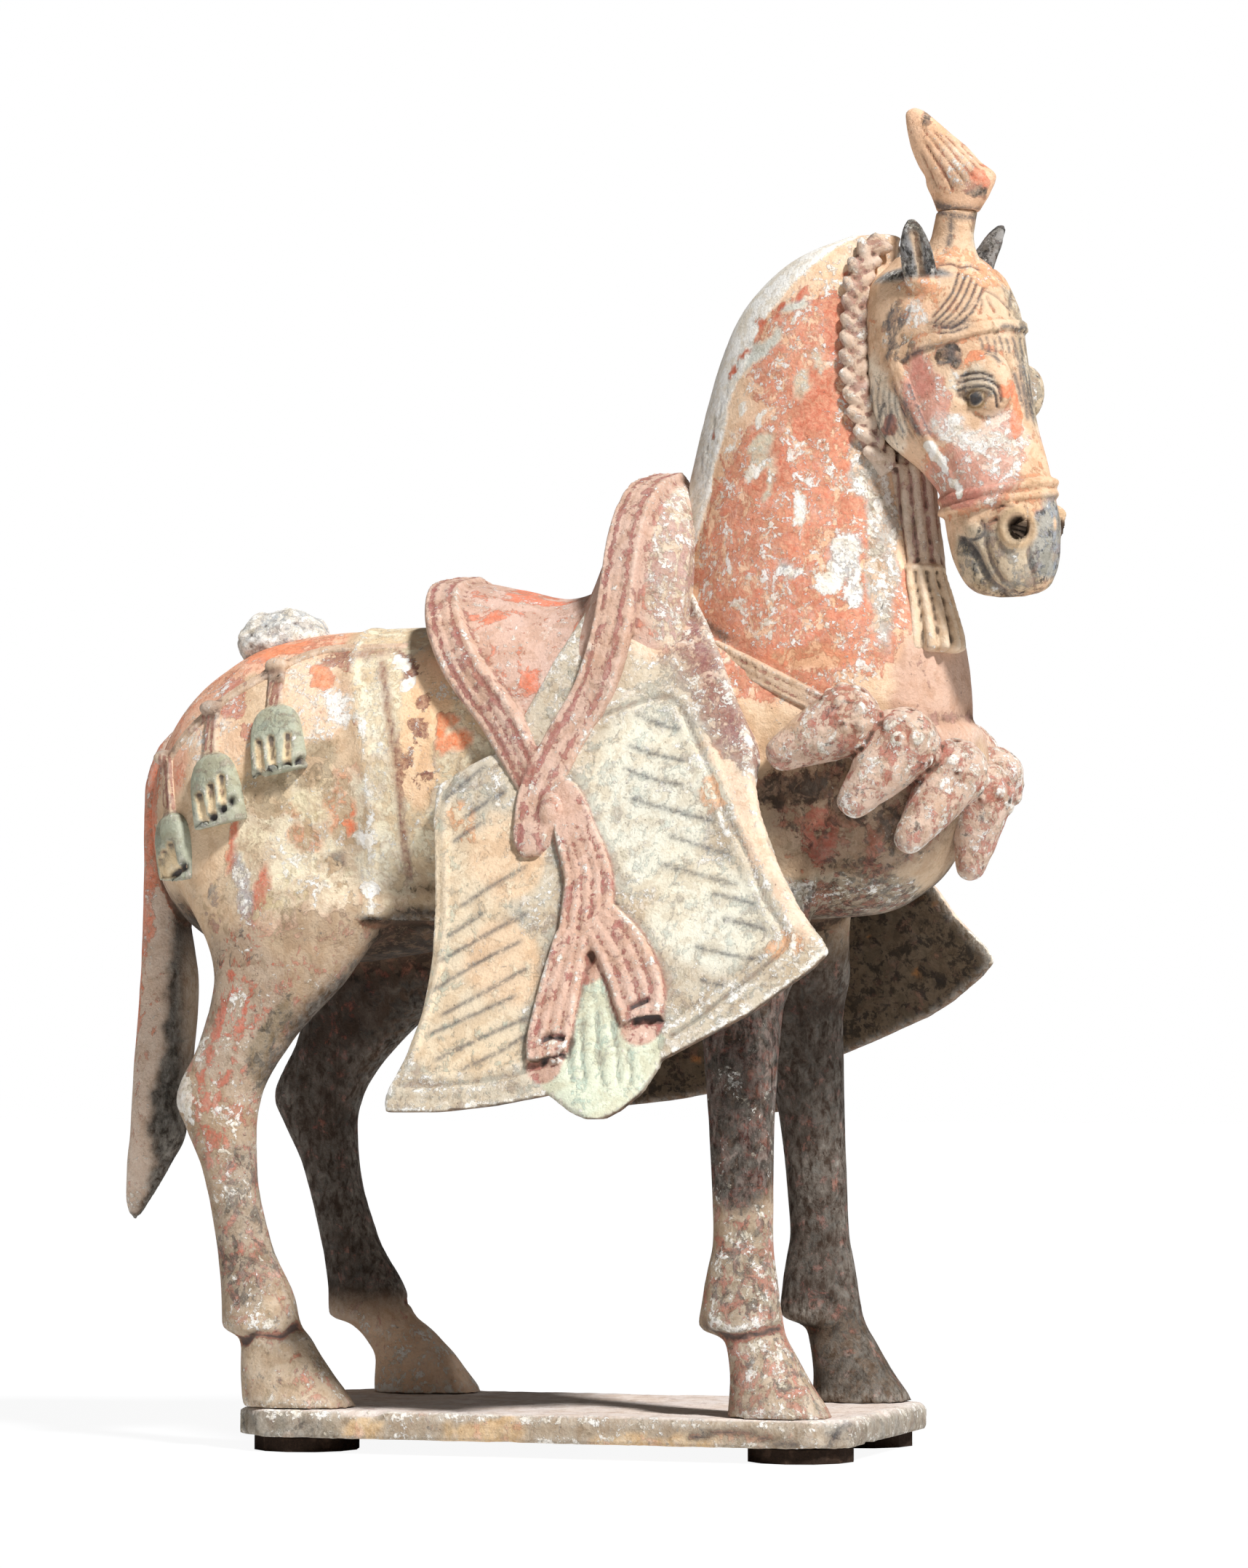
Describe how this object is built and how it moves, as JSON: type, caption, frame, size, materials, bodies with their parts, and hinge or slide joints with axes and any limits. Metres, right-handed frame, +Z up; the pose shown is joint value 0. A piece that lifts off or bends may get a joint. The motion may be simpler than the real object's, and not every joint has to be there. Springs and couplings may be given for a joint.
{
  "type": "tomb horse figure",
  "caption": "Standing saddled pottery horse with flared saddle flaps, chest tassels, plaited halter and a plume, on a thin padded plinth.",
  "frame": {"origin": "on the ground plane, under the middle of the whole object's bounding box", "axes": "+X towards the horse's head, +Y towards its left side, +Z up"},
  "size_m": [0.3608, 0.218, 0.4769],
  "materials": {
    "painted_clay": "matt, with worn cold-painted pigment over low-fired clay",
    "orange_clay": "matt, with worn orange pigment",
    "bare_clay": "matt, bare and dusty",
    "dark_felt": "matt felt"
  },
  "bodies": {
    "root": {"horse": "painted_clay", "plume": "orange_clay", "plinth": "bare_clay", "felt_pad_near_hind": "dark_felt", "felt_pad_far_hind": "dark_felt", "felt_pad_near_front": "dark_felt", "felt_pad_far_front": "dark_felt"}
  },
  "joints": []
}
